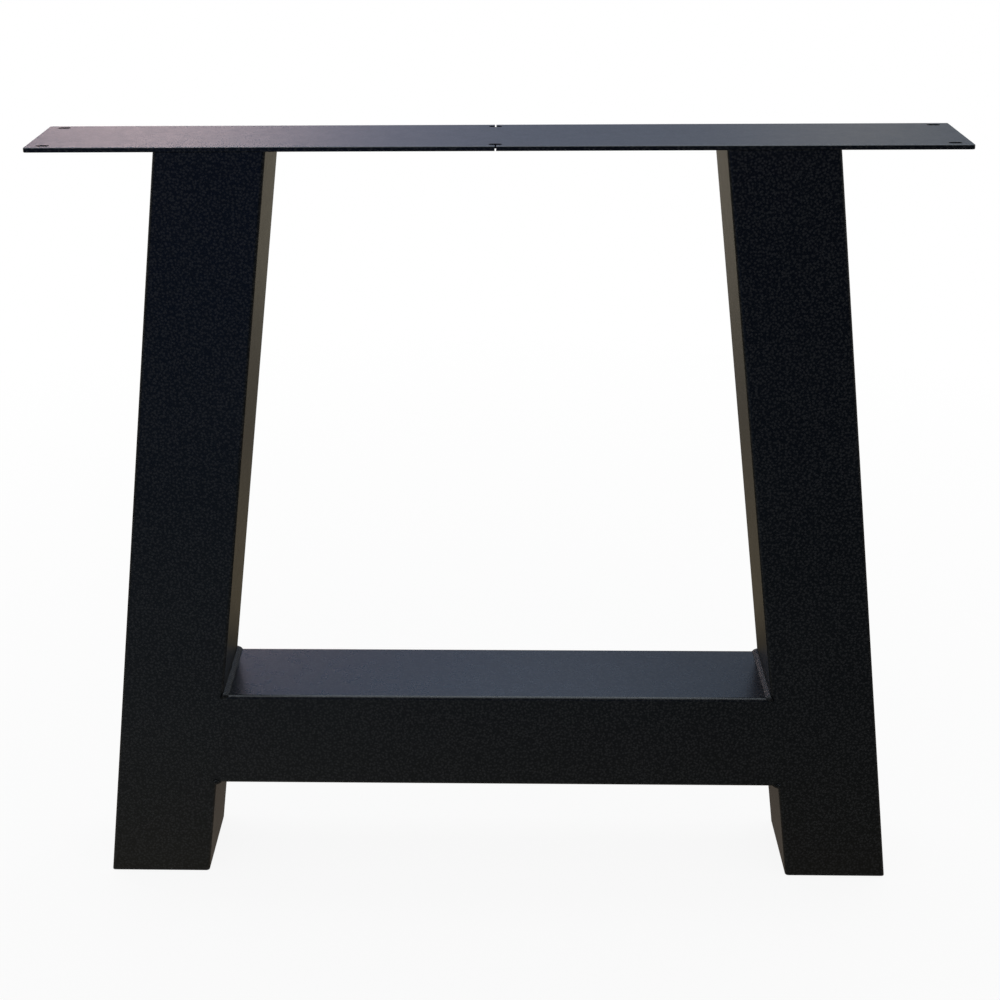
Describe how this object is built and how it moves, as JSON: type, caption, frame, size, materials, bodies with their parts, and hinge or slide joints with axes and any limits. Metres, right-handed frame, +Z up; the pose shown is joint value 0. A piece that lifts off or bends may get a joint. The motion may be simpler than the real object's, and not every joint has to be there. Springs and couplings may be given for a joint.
{
  "type": "trestle table leg",
  "caption": "Welded steel A-frame table leg: a slotted flat top plate on raked square tubes tied low down by a level crossbar.",
  "frame": {"origin": "on the floor, under the middle of the top plate", "axes": "+Z up, +X along the top plate's length to the right leg, +Y from the front face to the back face"},
  "size_m": [0.756, 0.09, 0.68],
  "materials": {
    "powder_coat": "fine-textured semi-matt black powder coat over welded steel"
  },
  "bodies": {
    "root": {"top_plate": "powder_coat", "crossbar": "powder_coat", "left_leg": "powder_coat", "left_foot_plate": "powder_coat", "left_crossbar_front_seam": "powder_coat", "left_crossbar_back_seam": "powder_coat", "left_crossbar_top_weld": "powder_coat", "left_crossbar_bottom_weld": "powder_coat", "left_plate_outer_weld": "powder_coat", "left_plate_inner_weld": "powder_coat", "right_leg": "powder_coat", "right_foot_plate": "powder_coat", "right_crossbar_front_seam": "powder_coat", "right_crossbar_back_seam": "powder_coat", "right_crossbar_top_weld": "powder_coat", "right_crossbar_bottom_weld": "powder_coat", "right_plate_outer_weld": "powder_coat", "right_plate_inner_weld": "powder_coat"}
  },
  "joints": []
}
